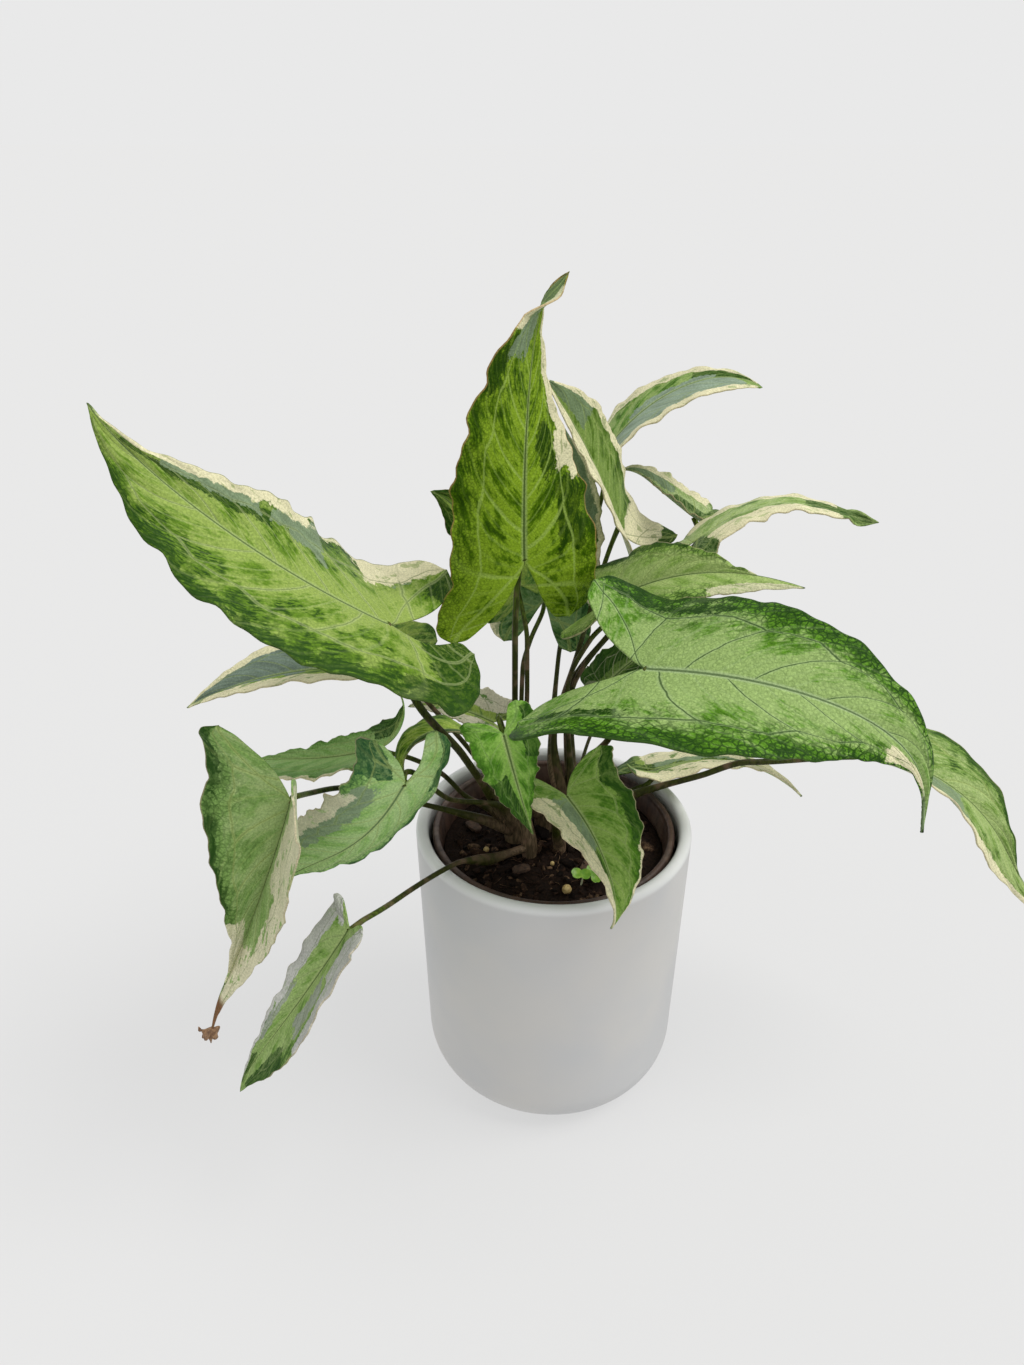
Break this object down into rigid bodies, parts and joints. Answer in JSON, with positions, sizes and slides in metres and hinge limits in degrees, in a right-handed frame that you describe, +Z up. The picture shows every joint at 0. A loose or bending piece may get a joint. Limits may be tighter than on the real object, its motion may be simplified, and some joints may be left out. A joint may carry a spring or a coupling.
{
  "type": "potted arrowhead plant",
  "caption": "Variegated arrowhead plant with cream and green arrow-shaped leaves, in a nursery pot standing in a plain white cylindrical cache pot.",
  "frame": {"origin": "centre of the cache pot's foot, on the surface it stands on", "axes": "+Z up, -Y towards the side that shows best, +X to the right of it"},
  "size_m": [0.4197, 0.2506, 0.4007],
  "materials": {
    "ceramic_white": "satin white glaze",
    "brown_plastic": "thin moulded nursery pot",
    "soil_mix": "dark fibrous potting mix",
    "leaf_variegated": "soft satin leaf, green with cream and grey green parts",
    "stem_green": "satin olive to brown leaf stem",
    "pellet_cream": "dull pellet",
    "bark_brown": "rough bark",
    "seedling_green": "fresh green"
  },
  "bodies": {
    "root": {"cache_pot": "ceramic_white", "nursery_pot": "brown_plastic", "soil": "soil_mix", "stems_left": "stem_green", "stems_centre": "stem_green", "stems_right": "stem_green", "stems_front": "stem_green", "stems_low": "stem_green", "leaf_left_large": "leaf_variegated", "leaf_centre_tall": "leaf_variegated", "leaf_centre_narrow": "leaf_variegated", "leaf_centre_back": "leaf_variegated", "leaf_back_high": "leaf_variegated", "leaf_back_curled": "leaf_variegated", "leaf_right_arching": "leaf_variegated", "leaf_right_pale": "leaf_variegated", "leaf_right_large": "leaf_variegated", "leaf_far_right": "leaf_variegated", "leaf_low_cream": "leaf_variegated", "leaf_front_right": "leaf_variegated", "leaf_front_left": "leaf_variegated", "leaf_left_hanging": "leaf_variegated", "leaf_left_broad": "leaf_variegated", "leaf_left_flat": "leaf_variegated", "leaf_young_curled": "leaf_variegated", "leaf_left_low": "leaf_variegated", "leaf_bottom_left": "leaf_variegated", "leaf_behind_left": "leaf_variegated", "leaf_dark_small": "leaf_variegated", "leaf_centre_hidden": "leaf_variegated", "pellet_1": "pellet_cream", "bark_1": "bark_brown", "pellet_2": "pellet_cream", "bark_2": "bark_brown", "pellet_3": "pellet_cream", "bark_3": "bark_brown", "seedling_1": "seedling_green", "seedling_2": "seedling_green"}
  },
  "joints": []
}
